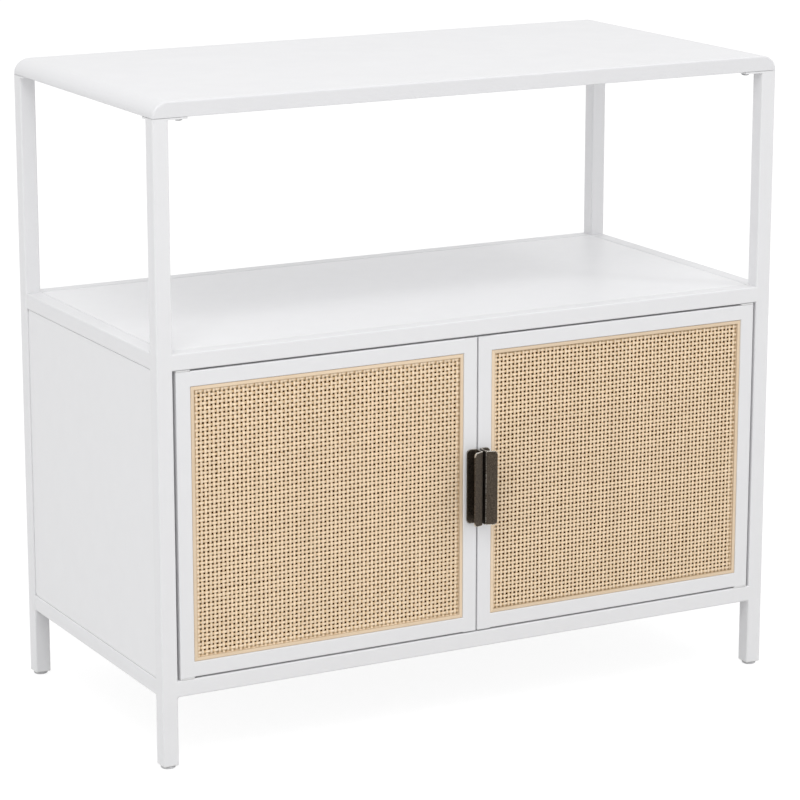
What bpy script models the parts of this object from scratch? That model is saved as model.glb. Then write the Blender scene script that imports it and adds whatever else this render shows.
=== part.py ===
"""Two-door cabinet: a welded steel tube frame with a top board, an open display bay
and a cupboard below it, closed by two pivot-hung doors with woven cane panels.

Metres, +Z up, front towards -Y. The origin lies on the floor, in the middle of the outline
that the frame and the handles cover together.
"""
import math

import bmesh
import bpy
from mathutils import Matrix, Vector

# Frame
FRAME_WIDTH = 0.800
FRAME_DEPTH = 0.395
FRAME_TUBE = 0.019
TUBE_WALL = 0.0012
TUBE_RADIUS = 0.0018
BASE_CLEARANCE = 0.083
BAY_HEIGHT = 0.258
SIDE_RAIL_RECESS = 0.001
SEAM = 0.0003

# Top board, the plates on the posts' ends and the screws up through them
BOARD_THICKNESS = 0.018
BOARD_END_RADIUS = 0.016
BOARD_EDGE_RADIUS = 0.0018
PLATE_THICKNESS = 0.002
PLATE_LENGTH = 0.042
PLATE_WIDTH = 0.028
PLATE_CORNER_RADIUS = 0.0015
PLATE_SCREW_END = 0.0065
PLATE_SCREW_SIDE = 0.011
TOP_SCREW_RADIUS = 0.0020
TOP_SCREW_HEAD_RADIUS = 0.0048
TOP_SCREW_CROWN_RADIUS = 0.0026
TOP_SCREW_HEAD_HEIGHT = 0.0026
TOP_SCREW_BITE = 0.013

# Folded sheet panels
SHEET = 0.0012
PANEL_EDGE = 0.012
PANEL_BEND_RADIUS = 0.0010
PANEL_RECESS = 0.002
DECK_RECESS = 0.0002
CORNER_RELIEF = 0.0026

# Doors
DOOR_HEIGHT = 0.3492
DOOR_TUBE = 0.0175
DOOR_TUBE_RADIUS = 0.0014
DOOR_END_GAP = 0.0019
HINGE_GAP = 0.0035
MEETING_GAP = 0.0018

# Cane panels
CANE_THICKNESS = 0.0016
CANE_RECESS = 0.0022
SPLINE_WIDTH = 0.0044
SPLINE_THICKNESS = 0.0010
STRETCHER_WIDTH = 0.009
STRETCHER_DEPTH = 0.009

# Pivots
PIVOT_PIN_RADIUS = 0.003
PIVOT_PIN_LENGTH = 0.009
PIVOT_PLUG_LENGTH = 0.014
PIVOT_CLEARANCE = 0.0004

# Handles
HANDLE_HEIGHT = 0.088
HANDLE_WIDTH = 0.0140
HANDLE_PROJECTION = 0.021
HANDLE_SHEET = 0.0020
HANDLE_BEND_RADIUS = 0.0030
HANDLE_CORNER_RADIUS = 0.0042
HANDLE_FLARE = math.radians(20.0)
HANDLE_SCREW_INSET = 0.012
HANDLE_SCREW_RADIUS = 0.0020
HANDLE_SCREW_HEAD_RADIUS = 0.0038
HANDLE_SCREW_CROWN_RADIUS = 0.0023
HANDLE_SCREW_HEAD_HEIGHT = 0.0022
HANDLE_HOLE_DEPTH = 0.0015

# Magnetic catch
CATCH_WIDTH = 0.046
CATCH_DEPTH = 0.014
CATCH_DROP = 0.014
CATCH_LIFT = 0.006
MAGNET_WIDTH = 0.012
MAGNET_HEIGHT = 0.008

# Levelling feet
FOOT_HEIGHT = 0.0055
FOOT_PAD_RADIUS = 0.0084
FOOT_RIM_RADIUS = 0.0012
FOOT_STEM_RADIUS = 0.003
FOOT_STEM_LENGTH = 0.026
FOOT_STEM_CHAMFER = 0.0006
FOOT_PLUG_LENGTH = 0.024
FOOT_PLUG_FLANGE = 0.0018
FOOT_PLUG_EDGE_RADIUS = 0.0014

# Fits around screws and threads
SCREW_CLEARANCE = 0.0003

# Steps of a quarter circle in tubes, flanges, board ends, sheet corners and bends, and sides of
# round pieces
TUBE_STEPS = 3
FLANGE_STEPS = 3
BOARD_STEPS = 12
CORNER_STEPS = 4
BEND_STEPS = 5
ROUND_SIDES = 20

# Places that follow from the sizes
HALF_WIDTH = FRAME_WIDTH / 2
FRONT_Y = (HANDLE_PROJECTION - FRAME_DEPTH) / 2
REAR_Y = FRONT_Y + FRAME_DEPTH
POST_X = HALF_WIDTH - FRAME_TUBE / 2
INNER_X = HALF_WIDTH - FRAME_TUBE
INNER_FRONT_Y = FRONT_Y + FRAME_TUBE
INNER_REAR_Y = REAR_Y - FRAME_TUBE
BASE_TOP_Z = BASE_CLEARANCE + FRAME_TUBE
DOOR_BOTTOM_Z = BASE_TOP_Z + DOOR_END_GAP
DOOR_TOP_Z = DOOR_BOTTOM_Z + DOOR_HEIGHT
DECK_RAIL_Z = DOOR_TOP_Z + DOOR_END_GAP
DECK_TOP_Z = DECK_RAIL_Z + FRAME_TUBE
BOARD_Z = DECK_TOP_Z + BAY_HEIGHT
PLATE_Z = BOARD_Z - SEAM - PLATE_THICKNESS
SIDE_RAIL_X = POST_X - SIDE_RAIL_RECESS
DOOR_OUTER_X = INNER_X - HINGE_GAP
DOOR_INNER_X = MEETING_GAP / 2
HINGE_X = DOOR_OUTER_X - DOOR_TUBE / 2
HINGE_Y = FRONT_Y + DOOR_TUBE / 2
MEETING_X = DOOR_INNER_X + DOOR_TUBE / 2
HANDLE_Z = (DOOR_BOTTOM_Z + DOOR_TOP_Z) / 2
SIDES = {"left": -1, "right": 1}
ENDS = {"front": FRONT_Y, "rear": REAR_Y}
INWARD = {"front": 1, "rear": -1}


def make_collections():
    """The model's own collection, and one for the shapes that cut or extend it."""
    cabinet = bpy.data.collections.new("cabinet")
    tools = bpy.data.collections.new("cabinet_cutters")
    for collection in (cabinet, tools):
        bpy.context.scene.collection.children.link(collection)
    return cabinet, tools


def finish(name, colour, roughness, metallic=0.0):
    """One Principled BSDF material."""
    material = bpy.data.materials.new(name)
    material.use_nodes = True
    shader = material.node_tree.nodes["Principled BSDF"]
    shader.inputs["Base Color"].default_value = (*colour, 1.0)
    shader.inputs["Roughness"].default_value = roughness
    shader.inputs["Metallic"].default_value = metallic
    return material


for old in list(bpy.data.objects):
    bpy.data.objects.remove(old, do_unlink=True)
CABINET, CUTTERS = make_collections()
WHITE_STEEL = finish("white_powder_coat", (0.80, 0.80, 0.81), 0.42)
WHITE_BOARD = finish("white_lacquered_board", (0.84, 0.84, 0.85), 0.38)
CANE = finish("woven_cane", (0.78, 0.60, 0.38), 0.62)
CANE_STRIP = finish("cane_strip", (0.80, 0.64, 0.42), 0.55)
PALE_WOOD = finish("stretcher_wood", (0.70, 0.54, 0.36), 0.70)
BRONZE = finish("aged_bronze", (0.075, 0.062, 0.050), 0.48, 0.85)
ZINC = finish("zinc_screw", (0.45, 0.45, 0.46), 0.38, 1.0)
GREY_PLASTIC = finish("grey_plastic", (0.44, 0.44, 0.45), 0.50)
WHITE_PLASTIC = finish("white_plastic", (0.78, 0.78, 0.78), 0.45)


def add_object(name, mesh, material, location=(0, 0, 0), parent=None):
    """Link a mesh as one named piece, placed in the world or under its joint's empty."""
    piece = bpy.data.objects.new(name, mesh)
    CABINET.objects.link(piece)
    piece.parent = parent
    piece.location = Vector(location) - (parent.location if parent else Vector())
    mesh.materials.append(material)
    return piece


def shape(target, tool, operation):
    """Let a hidden tool object cut or extend a piece by an exact Boolean."""
    CABINET.objects.unlink(tool)
    CUTTERS.objects.link(tool)
    tool.hide_render = True
    tool.display_type = "WIRE"
    modifier = target.modifiers.new(tool.name, "BOOLEAN")
    modifier.operation = operation
    modifier.object = tool
    return target


def block(name, low, high, material, parent=None):
    """A box between two world corners, as a scaled primitive."""
    low, high = Vector(low), Vector(high)
    mesh = bpy.data.meshes.new(name)
    built = bmesh.new()
    bmesh.ops.create_cube(built, size=1.0, matrix=Matrix.Diagonal((*(high - low), 1.0)))
    built.to_mesh(mesh)
    built.free()
    return add_object(name, mesh, material, (low + high) / 2, parent)


def rod(name, radius, start, end, material, parent=None, end_radius=None):
    """A cylinder or cone frustum from one world point to another."""
    start, end = Vector(start), Vector(end)
    axis = end - start
    mesh = bpy.data.meshes.new(name)
    built = bmesh.new()
    bmesh.ops.create_cone(
        built, cap_ends=True, segments=ROUND_SIDES, depth=axis.length,
        radius1=radius, radius2=radius if end_radius is None else end_radius,
        matrix=axis.to_track_quat("Z", "X").to_matrix().to_4x4())
    built.to_mesh(mesh)
    built.free()
    return add_object(name, mesh, material, (start + end) / 2, parent)


def corner_arc(centre, radius, first, last, steps):
    """Points along an arc, angles in degrees."""
    angles = [math.radians(first + (last - first) * i / steps) for i in range(steps + 1)]
    return [(centre[0] + radius * math.cos(a), centre[1] + radius * math.sin(a)) for a in angles]


def rounded_rectangle(width, height, radius, steps):
    """Outline about its own centre, anticlockwise from its right-hand side."""
    x, y = width / 2 - radius, height / 2 - radius
    outline = []
    for centre, first in (((x, y), 0), ((-x, y), 90), ((-x, -y), 180), ((x, -y), 270)):
        outline += corner_arc(centre, radius, first, first + 90, steps)
    return outline


def extrusion(name, outlines, length, material, location=(0, 0, 0), turn=None, parent=None):
    """Flat outlines filled and extruded to a length, centred, then turned to their axis."""
    curve = bpy.data.curves.new(name, "CURVE")
    curve.dimensions = "2D"
    curve.fill_mode = "BOTH"
    curve.extrude = length / 2
    for outline in outlines:
        spline = curve.splines.new("POLY")
        spline.points.add(len(outline) - 1)
        for point, (x, y) in zip(spline.points, outline):
            point.co = (x, y, 0.0, 1.0)
        spline.use_cyclic_u = True
    flat = bpy.data.objects.new(name + "_outline", curve)
    bpy.context.scene.collection.objects.link(flat)
    evaluated = flat.evaluated_get(bpy.context.evaluated_depsgraph_get())
    mesh = bpy.data.meshes.new_from_object(evaluated)
    bpy.data.objects.remove(flat)
    bpy.data.curves.remove(curve)
    built = bmesh.new()
    built.from_mesh(mesh)
    bmesh.ops.remove_doubles(built, verts=built.verts, dist=0.00001)
    if turn is not None:
        bmesh.ops.transform(built, matrix=turn, verts=built.verts)
    bmesh.ops.recalc_face_normals(built, faces=built.faces)
    built.to_mesh(mesh)
    built.free()
    mesh.name = name
    return add_object(name, mesh, material, location, parent)


ALONG_X = Matrix.Rotation(math.pi / 2, 4, "Y")
ALONG_Y = Matrix.Rotation(math.pi / 2, 4, "X")
ALONG_Z = Matrix.Identity(4)


def tube(name, size, radius, start, end, turn, parent=None):
    """Square tube with rounded arrises and open ends, between two world points."""
    start, end = Vector(start), Vector(end)
    bore = size - 2 * TUBE_WALL
    outlines = [rounded_rectangle(size, size, radius, TUBE_STEPS),
                rounded_rectangle(bore, bore, max(radius - TUBE_WALL, 0.0002), 1)]
    return extrusion(name, outlines, (end - start).length, WHITE_STEEL, (start + end) / 2, turn, parent)


def drill(target, radius, start, end):
    """A round hole through or into a piece."""
    return shape(target, rod(target.name + "_drill", radius, start, end, WHITE_STEEL), "DIFFERENCE")


def corners():
    """Name, side sign and inward sign of the four posts, with their centre and outer corner."""
    for side_name, side in SIDES.items():
        for end_name, outer_y in ENDS.items():
            inward = INWARD[end_name]
            centre = Vector((side * POST_X, outer_y + inward * FRAME_TUBE / 2, 0))
            outer = Vector((side * HALF_WIDTH, outer_y, 0))
            yield f"{end_name}_{side_name}", side, inward, centre, outer


def build_posts():
    """Four posts, and the plate welded on each one's top end, with its screw hole."""
    for corner, side, inward, centre, outer in corners():
        tube(f"post_{corner}", FRAME_TUBE, TUBE_RADIUS, (centre.x, centre.y, FOOT_HEIGHT),
             (centre.x, centre.y, PLATE_Z - SEAM), ALONG_Z)
        middle = outer + Vector((-side * PLATE_LENGTH / 2, inward * PLATE_WIDTH / 2, 0))
        middle.z = PLATE_Z + PLATE_THICKNESS / 2
        face = rounded_rectangle(PLATE_LENGTH, PLATE_WIDTH, PLATE_CORNER_RADIUS, CORNER_STEPS)
        plate = extrusion(f"top_plate_{corner}", [face], PLATE_THICKNESS, WHITE_STEEL, middle)
        x, y = screw_place(side, inward, outer)
        drill(plate, TOP_SCREW_RADIUS + SCREW_CLEARANCE, (x, y, PLATE_Z - PLATE_THICKNESS),
              (x, y, PLATE_Z + 2 * PLATE_THICKNESS))


def screw_place(side, inward, outer):
    """World position of the screw in one top plate, clear of the post."""
    return outer.x - side * (PLATE_LENGTH - PLATE_SCREW_END), outer.y + inward * PLATE_SCREW_SIDE


def build_rails():
    """Rails of the base and of the deck, butted between the posts."""
    for level, low_z in (("base", BASE_CLEARANCE), ("deck", DECK_RAIL_Z)):
        z = low_z + FRAME_TUBE / 2
        reach_x = INNER_X - SEAM
        for end_name, outer_y in ENDS.items():
            y = outer_y + INWARD[end_name] * FRAME_TUBE / 2
            rail = tube(f"{level}_rail_{end_name}", FRAME_TUBE, TUBE_RADIUS,
                        (-reach_x, y, z), (reach_x, y, z), ALONG_X)
            if end_name == "front":
                drill_pivot_holes(rail, level)
        for side_name, side in SIDES.items():
            tube(f"{level}_rail_{side_name}", FRAME_TUBE, TUBE_RADIUS,
                 (side * SIDE_RAIL_X, INNER_FRONT_Y + SEAM, z),
                 (side * SIDE_RAIL_X, INNER_REAR_Y - SEAM, z), ALONG_Y)


def drill_pivot_holes(rail, level):
    """Holes for the door pins in the wall of a front rail that faces the doors."""
    wall_z = BASE_TOP_Z if level == "base" else DECK_RAIL_Z
    inward = -1 if level == "base" else 1
    for side in SIDES.values():
        start = (side * HINGE_X, HINGE_Y, wall_z - inward * TUBE_WALL)
        end = (side * HINGE_X, HINGE_Y, wall_z + inward * 3 * TUBE_WALL)
        drill(rail, PIVOT_PIN_RADIUS + PIVOT_CLEARANCE, start, end)


def board_outline():
    """Front view of the board: quarter-round ends over short square lips."""
    rise = BOARD_THICKNESS - BOARD_END_RADIUS
    centre_x, centre_y = HALF_WIDTH - BOARD_END_RADIUS, rise - BOARD_THICKNESS / 2
    outline = [(-HALF_WIDTH, -BOARD_THICKNESS / 2), (HALF_WIDTH, -BOARD_THICKNESS / 2)]
    outline += corner_arc((centre_x, centre_y), BOARD_END_RADIUS, 0, 90, BOARD_STEPS)
    outline += corner_arc((-centre_x, centre_y), BOARD_END_RADIUS, 90, 180, BOARD_STEPS)
    return outline


def build_top():
    """Board on the four plates, with pilot holes, and the screws that hold it."""
    middle = (0, (FRONT_Y + REAR_Y) / 2, BOARD_Z + BOARD_THICKNESS / 2)
    board = extrusion("top_board", [board_outline()], FRAME_DEPTH, WHITE_BOARD, middle, ALONG_Y)
    edges = board.modifiers.new("edge_radius", "BEVEL")
    edges.width = BOARD_EDGE_RADIUS
    edges.segments = 2
    edges.limit_method = "ANGLE"
    edges.angle_limit = math.radians(60)
    head_z = PLATE_Z - SEAM
    for corner, side, inward, _, outer in corners():
        x, y = screw_place(side, inward, outer)
        drill(board, TOP_SCREW_RADIUS + SCREW_CLEARANCE, (x, y, BOARD_Z - BOARD_THICKNESS / 2),
              (x, y, BOARD_Z + TOP_SCREW_BITE + SCREW_CLEARANCE))
        screw = rod(f"top_screw_{corner}", TOP_SCREW_RADIUS, (x, y, head_z - TOP_SCREW_HEAD_HEIGHT / 2),
                    (x, y, BOARD_Z + TOP_SCREW_BITE), ZINC)
        head = rod(screw.name + "_head", TOP_SCREW_HEAD_RADIUS, (x, y, head_z),
                   (x, y, head_z - TOP_SCREW_HEAD_HEIGHT), ZINC, end_radius=TOP_SCREW_CROWN_RADIUS)
        shape(screw, head, "UNION")


def folded_panel(name, low, high, normal):
    """Sheet panel with four folded edges, whose face lies on the side that normal points to.

    The blank is a rounded block, hollowed from behind, with a square relief at each corner.
    """
    low, high, normal = Vector(low), Vector(high), Vector(normal)
    panel = block(name, low, high, WHITE_STEEL)
    bend = panel.modifiers.new("bend_radius", "BEVEL")
    bend.width = PANEL_BEND_RADIUS
    bend.segments = 2
    inner_low, inner_high = low.copy(), high.copy()
    relief_low, relief_high = low.copy(), high.copy()
    for axis in range(3):
        if normal[axis] == 0:
            inner_low[axis] += SHEET
            inner_high[axis] -= SHEET
        elif normal[axis] > 0:
            inner_low[axis] -= SHEET
            inner_high[axis] -= SHEET
        else:
            inner_low[axis] += SHEET
            inner_high[axis] += SHEET
        if normal[axis] != 0:
            relief_low[axis] -= SHEET
            relief_high[axis] += SHEET
    shape(panel, block(name + "_hollow", inner_low, inner_high, WHITE_STEEL), "DIFFERENCE")
    first, second = [axis for axis in range(3) if normal[axis] == 0]
    for at_first in (low[first], high[first]):
        for at_second in (low[second], high[second]):
            cut_low, cut_high = relief_low.copy(), relief_high.copy()
            cut_low[first], cut_high[first] = at_first - CORNER_RELIEF, at_first + CORNER_RELIEF
            cut_low[second], cut_high[second] = at_second - CORNER_RELIEF, at_second + CORNER_RELIEF
            shape(panel, block(name + "_relief", cut_low, cut_high, WHITE_STEEL), "DIFFERENCE")
    return panel


def build_panels():
    """Deck, floor, sides and back, let into the frame with a seam all round."""
    front, rear = INNER_FRONT_Y + SEAM, INNER_REAR_Y - SEAM
    level_x = SIDE_RAIL_X - FRAME_TUBE / 2 - SEAM
    for name, top_z in (("deck_panel", DECK_TOP_Z), ("floor_panel", BASE_TOP_Z)):
        face_z = top_z - DECK_RECESS
        folded_panel(name, (-level_x, front, face_z - PANEL_EDGE), (level_x, rear, face_z), (0, 0, 1))
    low_z, high_z = BASE_TOP_Z + SEAM, DECK_RAIL_Z - SEAM
    face_x = HALF_WIDTH - PANEL_RECESS
    for side_name, side in SIDES.items():
        ends = sorted((side * face_x, side * (face_x - PANEL_EDGE)))
        folded_panel(f"side_panel_{side_name}", (ends[0], front, low_z), (ends[1], rear, high_z),
                     (side, 0, 0))
    face_y = REAR_Y - PANEL_RECESS
    back_x = INNER_X - SEAM
    folded_panel("back_panel", (-back_x, face_y - PANEL_EDGE, low_z), (back_x, face_y, high_z), (0, 1, 0))


def build_feet():
    """Flanged plug in each post's lower end, and the levelling foot screwed into it."""
    plug_half = FRAME_TUBE / 2 - TUBE_WALL - SEAM
    flange_top = FOOT_HEIGHT - SEAM
    for corner, _, _, centre, _ in corners():
        x, y = centre.x, centre.y
        plug = moulded_flange(f"foot_plug_{corner}", (x, y, flange_top))
        core = block(plug.name + "_core", (x - plug_half, y - plug_half, flange_top - FOOT_PLUG_FLANGE / 2),
                     (x + plug_half, y + plug_half, flange_top + FOOT_PLUG_LENGTH), WHITE_PLASTIC)
        shape(plug, core, "UNION")
        drill(plug, FOOT_STEM_RADIUS + SCREW_CLEARANCE, (x, y, 0),
              (x, y, FOOT_HEIGHT + 2 * FOOT_PLUG_LENGTH))
        build_leveller(f"leveller_{corner}", x, y, flange_top - FOOT_PLUG_FLANGE - SEAM)


def moulded_flange(name, top):
    """Square flange below a place: the post's outline, drawn in round its lower edge."""
    profile = [(0.0, 0.0)]
    for step in range(FLANGE_STEPS + 1):
        turn = math.pi / 2 * step / FLANGE_STEPS
        profile.append((FOOT_PLUG_FLANGE - FOOT_PLUG_EDGE_RADIUS * (1 - math.sin(turn)),
                        FOOT_PLUG_EDGE_RADIUS * (1 - math.cos(turn))))
    built = bmesh.new()
    rings = []
    for drop, inset in profile:
        side = FRAME_TUBE - 2 * inset
        outline = rounded_rectangle(side, side, TUBE_RADIUS - inset, TUBE_STEPS)
        rings.append([built.verts.new((x, y, -drop)) for x, y in outline])
    for upper, lower in zip(rings, rings[1:]):
        for index, corner in enumerate(upper):
            built.faces.new((upper[index - 1], corner, lower[index], lower[index - 1]))
    built.faces.new(rings[0])
    built.faces.new(rings[-1])
    bmesh.ops.recalc_face_normals(built, faces=built.faces)
    mesh = bpy.data.meshes.new(name)
    built.to_mesh(mesh)
    built.free()
    return add_object(name, mesh, WHITE_PLASTIC, top)


def build_leveller(name, x, y, pad_height):
    """Turned foot: a pad with a chamfered rim and a screwed stem, one profile spun on its own axis."""
    profile = [(0.0, FOOT_STEM_LENGTH), (FOOT_STEM_RADIUS - FOOT_STEM_CHAMFER, FOOT_STEM_LENGTH),
               (FOOT_STEM_RADIUS, FOOT_STEM_LENGTH - FOOT_STEM_CHAMFER), (FOOT_STEM_RADIUS, pad_height),
               (FOOT_PAD_RADIUS - FOOT_RIM_RADIUS, pad_height),
               (FOOT_PAD_RADIUS, pad_height - FOOT_RIM_RADIUS), (FOOT_PAD_RADIUS, FOOT_RIM_RADIUS),
               (FOOT_PAD_RADIUS - FOOT_RIM_RADIUS, 0.0), (0.0, 0.0)]
    mesh = bpy.data.meshes.new(name)
    mesh.from_pydata([(radius, 0.0, z) for radius, z in profile],
                     [(i, i + 1) for i in range(len(profile) - 1)], [])
    foot = add_object(name, mesh, GREY_PLASTIC, (x, y, 0))
    spin = foot.modifiers.new("turned", "SCREW")
    spin.steps = spin.render_steps = ROUND_SIDES
    spin.use_merge_vertices = True
    spin.merge_threshold = 0.00001
    return foot


def joint_empty(name, location):
    """Empty on a joint's axis, which carries the moving pieces."""
    empty = bpy.data.objects.new(name, None)
    empty.location = location
    CABINET.objects.link(empty)
    return empty


def build_door(side_name, side):
    """One door: tube frame, cane on its stretcher, spline, handle and pivots."""
    hinge = joint_empty(f"{side_name}_door_axis", (side * HINGE_X, HINGE_Y, DOOR_BOTTOM_Z))
    y = HINGE_Y
    stiles = {}
    for label, x in (("hinge_stile", HINGE_X), ("meeting_stile", MEETING_X)):
        stiles[label] = tube(f"{side_name}_{label}", DOOR_TUBE, DOOR_TUBE_RADIUS,
                             (side * x, y, DOOR_BOTTOM_Z), (side * x, y, DOOR_TOP_Z), ALONG_Z, hinge)
    reach = sorted((side * (HINGE_X - DOOR_TUBE / 2 - SEAM), side * (MEETING_X + DOOR_TUBE / 2 + SEAM)))
    rails = {"top_rail": DOOR_TOP_Z - DOOR_TUBE / 2, "bottom_rail": DOOR_BOTTOM_Z + DOOR_TUBE / 2}
    for label, z in rails.items():
        tube(f"{side_name}_{label}", DOOR_TUBE, DOOR_TUBE_RADIUS, (reach[0], y, z), (reach[1], y, z),
             ALONG_X, hinge)
    build_cane(side_name, reach, hinge)
    build_pivots(side_name, side, hinge)
    build_handle(side_name, side, stiles["meeting_stile"], hinge)


def ring(name, low, high, width, material, parent):
    """Flat frame of one section between two corners, open through along Y."""
    frame = block(name, low, high, material, parent)
    inner_low = (low[0] + width, low[1] - width, low[2] + width)
    inner_high = (high[0] - width, high[1] + width, high[2] - width)
    return shape(frame, block(name + "_opening", inner_low, inner_high, material), "DIFFERENCE")


def build_cane(side_name, reach, hinge):
    """Cane panel in the door's opening, its stretcher behind and the spline on its face."""
    low_z, high_z = DOOR_BOTTOM_Z + DOOR_TUBE + SEAM, DOOR_TOP_Z - DOOR_TUBE - SEAM
    face_y = FRONT_Y + CANE_RECESS
    block(f"{side_name}_cane_panel", (reach[0], face_y, low_z),
          (reach[1], face_y + CANE_THICKNESS, high_z), CANE, hinge)
    strip_y = face_y - SEAM
    ring(f"{side_name}_cane_spline", (reach[0], strip_y - SPLINE_THICKNESS, low_z),
         (reach[1], strip_y, high_z), SPLINE_WIDTH, CANE_STRIP, hinge)
    back_y = face_y + CANE_THICKNESS + SEAM
    ring(f"{side_name}_cane_stretcher", (reach[0], back_y, low_z),
         (reach[1], back_y + STRETCHER_DEPTH, high_z), STRETCHER_WIDTH, PALE_WOOD, hinge)


def build_pivots(side_name, side, hinge):
    """Upper and lower pivot: a plug in the stile, a collar in the gap and a pin in the rail."""
    x, y = side * HINGE_X, HINGE_Y
    plug = DOOR_TUBE / 2 - TUBE_WALL - SEAM
    face = rounded_rectangle(DOOR_TUBE, DOOR_TUBE, DOOR_TUBE_RADIUS, TUBE_STEPS)
    for label, end_z, outward in (("lower_pivot", DOOR_BOTTOM_Z, -1), ("upper_pivot", DOOR_TOP_Z, 1)):
        collar = [end_z + outward * SEAM, end_z + outward * (DOOR_END_GAP - SEAM)]
        inside = end_z - outward * PIVOT_PLUG_LENGTH
        pivot = extrusion(f"{side_name}_{label}", [face], DOOR_END_GAP - 2 * SEAM, WHITE_PLASTIC,
                          (x, y, sum(collar) / 2), parent=hinge)
        overlap = collar[0] + outward * SEAM
        low, high = sorted((inside, overlap))
        shape(pivot, block(pivot.name + "_plug", (x - plug, y - plug, low), (x + plug, y + plug, high),
                           WHITE_PLASTIC), "UNION")
        pin_end = collar[1] + outward * PIVOT_PIN_LENGTH
        pin = rod(pivot.name + "_pin", PIVOT_PIN_RADIUS, (x, y, end_z), (x, y, pin_end), WHITE_PLASTIC)
        shape(pivot, pin, "UNION")


def handle_path(side):
    """Middle line of the bent sheet, seen from above, from the flange's edge to the lip's edge.

    Each bend is an arc tangent to the straight runs beside it. Coordinates are the distance
    from the doors' meeting line, signed by side, and the distance in front of the door.
    """
    half = HANDLE_SHEET / 2
    web = DOOR_INNER_X + half
    edge = DOOR_INNER_X + HANDLE_WIDTH
    waist = HANDLE_PROJECTION - half / math.cos(HANDLE_FLARE) - (edge - web) * math.tan(HANDLE_FLARE)
    far = edge + HANDLE_SHEET
    turns = [Vector((far, half + SEAM)), Vector((web, half + SEAM)), Vector((web, waist)),
             Vector((far, waist + (far - web) * math.tan(HANDLE_FLARE)))]
    path = [turns[0]]
    for before, corner, after in zip(turns, turns[1:], turns[2:]):
        arriving, leaving = (corner - before).normalized(), (after - corner).normalized()
        turn = arriving.angle(leaving)
        trim = HANDLE_BEND_RADIUS * math.tan(turn / 2)
        start, end = corner - arriving * trim, corner + leaving * trim
        for step in range(BEND_STEPS + 1):
            share = step / BEND_STEPS
            path.append(corner + (1 - share) ** 2 * (start - corner) + share ** 2 * (end - corner))
    path.append(turns[3])
    return [Vector((side * point.x, point.y)) for point in path]


def sheet_outline(path, thickness):
    """Outline of a sheet that follows a path, half its thickness to each side."""
    left, right = [], []
    for index, point in enumerate(path):
        before, after = path[max(index - 1, 0)], path[min(index + 1, len(path) - 1)]
        along = (after - before).normalized()
        across = Vector((-along.y, along.x)) * thickness / 2
        left.append(tuple(point + across))
        right.append(tuple(point - across))
    return left + right[::-1]


def build_handle(side_name, side, stile, hinge):
    """Bent handle on the meeting stile, its rounded corners, and two screws from behind."""
    outline = sheet_outline([Vector((p.x, -p.y)) for p in handle_path(side)], HANDLE_SHEET)
    handle = extrusion(f"{side_name}_handle", [outline], HANDLE_HEIGHT, BRONZE,
                       (0, FRONT_Y, HANDLE_Z), ALONG_Z, hinge)
    reach = 2 * (DOOR_INNER_X + HANDLE_WIDTH)
    face = rounded_rectangle(reach, HANDLE_HEIGHT, HANDLE_CORNER_RADIUS, CORNER_STEPS)
    blank = extrusion(handle.name + "_blank", [face], 4 * HANDLE_PROJECTION, BRONZE,
                      (0, FRONT_Y, HANDLE_Z), ALONG_Y)
    shape(handle, blank, "INTERSECT")
    x = side * MEETING_X
    back_y = FRONT_Y + DOOR_TUBE
    for label, rise in (("upper", 1), ("lower", -1)):
        z = HANDLE_Z + rise * (HANDLE_HEIGHT / 2 - HANDLE_SCREW_INSET)
        tip_y = FRONT_Y - SEAM - HANDLE_HOLE_DEPTH
        drill(handle, HANDLE_SCREW_RADIUS + SCREW_CLEARANCE, (x, FRONT_Y + DOOR_TUBE / 2, z), (x, tip_y, z))
        drill(stile, HANDLE_SCREW_RADIUS + SCREW_CLEARANCE, (x, FRONT_Y - DOOR_TUBE, z),
              (x, back_y + DOOR_TUBE, z))
        head_y = back_y + SEAM
        screw = rod(f"{side_name}_handle_screw_{label}", HANDLE_SCREW_RADIUS, (x, tip_y + SEAM, z),
                    (x, head_y + HANDLE_SCREW_HEAD_HEIGHT / 2, z), ZINC, hinge)
        head = rod(screw.name + "_head", HANDLE_SCREW_HEAD_RADIUS, (x, head_y, z),
                   (x, head_y + HANDLE_SCREW_HEAD_HEIGHT, z), ZINC, end_radius=HANDLE_SCREW_CROWN_RADIUS)
        shape(screw, head, "UNION")


def build_catch():
    """Magnetic catch on the rear face of the deck's front rail, with a magnet for each door."""
    front = INNER_FRONT_Y + SEAM
    half = CATCH_WIDTH / 2
    catch = block("door_catch", (-half, front, DECK_RAIL_Z - CATCH_DROP),
                  (half, front + CATCH_DEPTH, DECK_RAIL_Z + CATCH_LIFT), WHITE_PLASTIC)
    magnet_top = DOOR_TOP_Z - SEAM
    for side_name, side in SIDES.items():
        x = side * MEETING_X
        magnet = block(f"door_catch_magnet_{side_name}",
                       (x - MAGNET_WIDTH / 2, FRONT_Y + DOOR_TUBE + SEAM, magnet_top - MAGNET_HEIGHT),
                       (x + MAGNET_WIDTH / 2, front + CATCH_DEPTH / 2, magnet_top), ZINC)
        shape(catch, magnet, "UNION")


build_posts()
build_rails()
build_top()
build_panels()
build_feet()
for door_name, door_side in SIDES.items():
    build_door(door_name, door_side)
build_catch()
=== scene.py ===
"""Two-door cabinet, dressed: a welded white frame with a lacquered board on top, folded steel
panels, and two pivot-hung doors with woven cane and bent bronze handles.

Metres, in the frame of the CAD. Sections follow the real object, from its welded frame outwards.
"""
import math
from itertools import pairwise

import bmesh
import bpy
from mathutils import Matrix, Vector, noise


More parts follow.
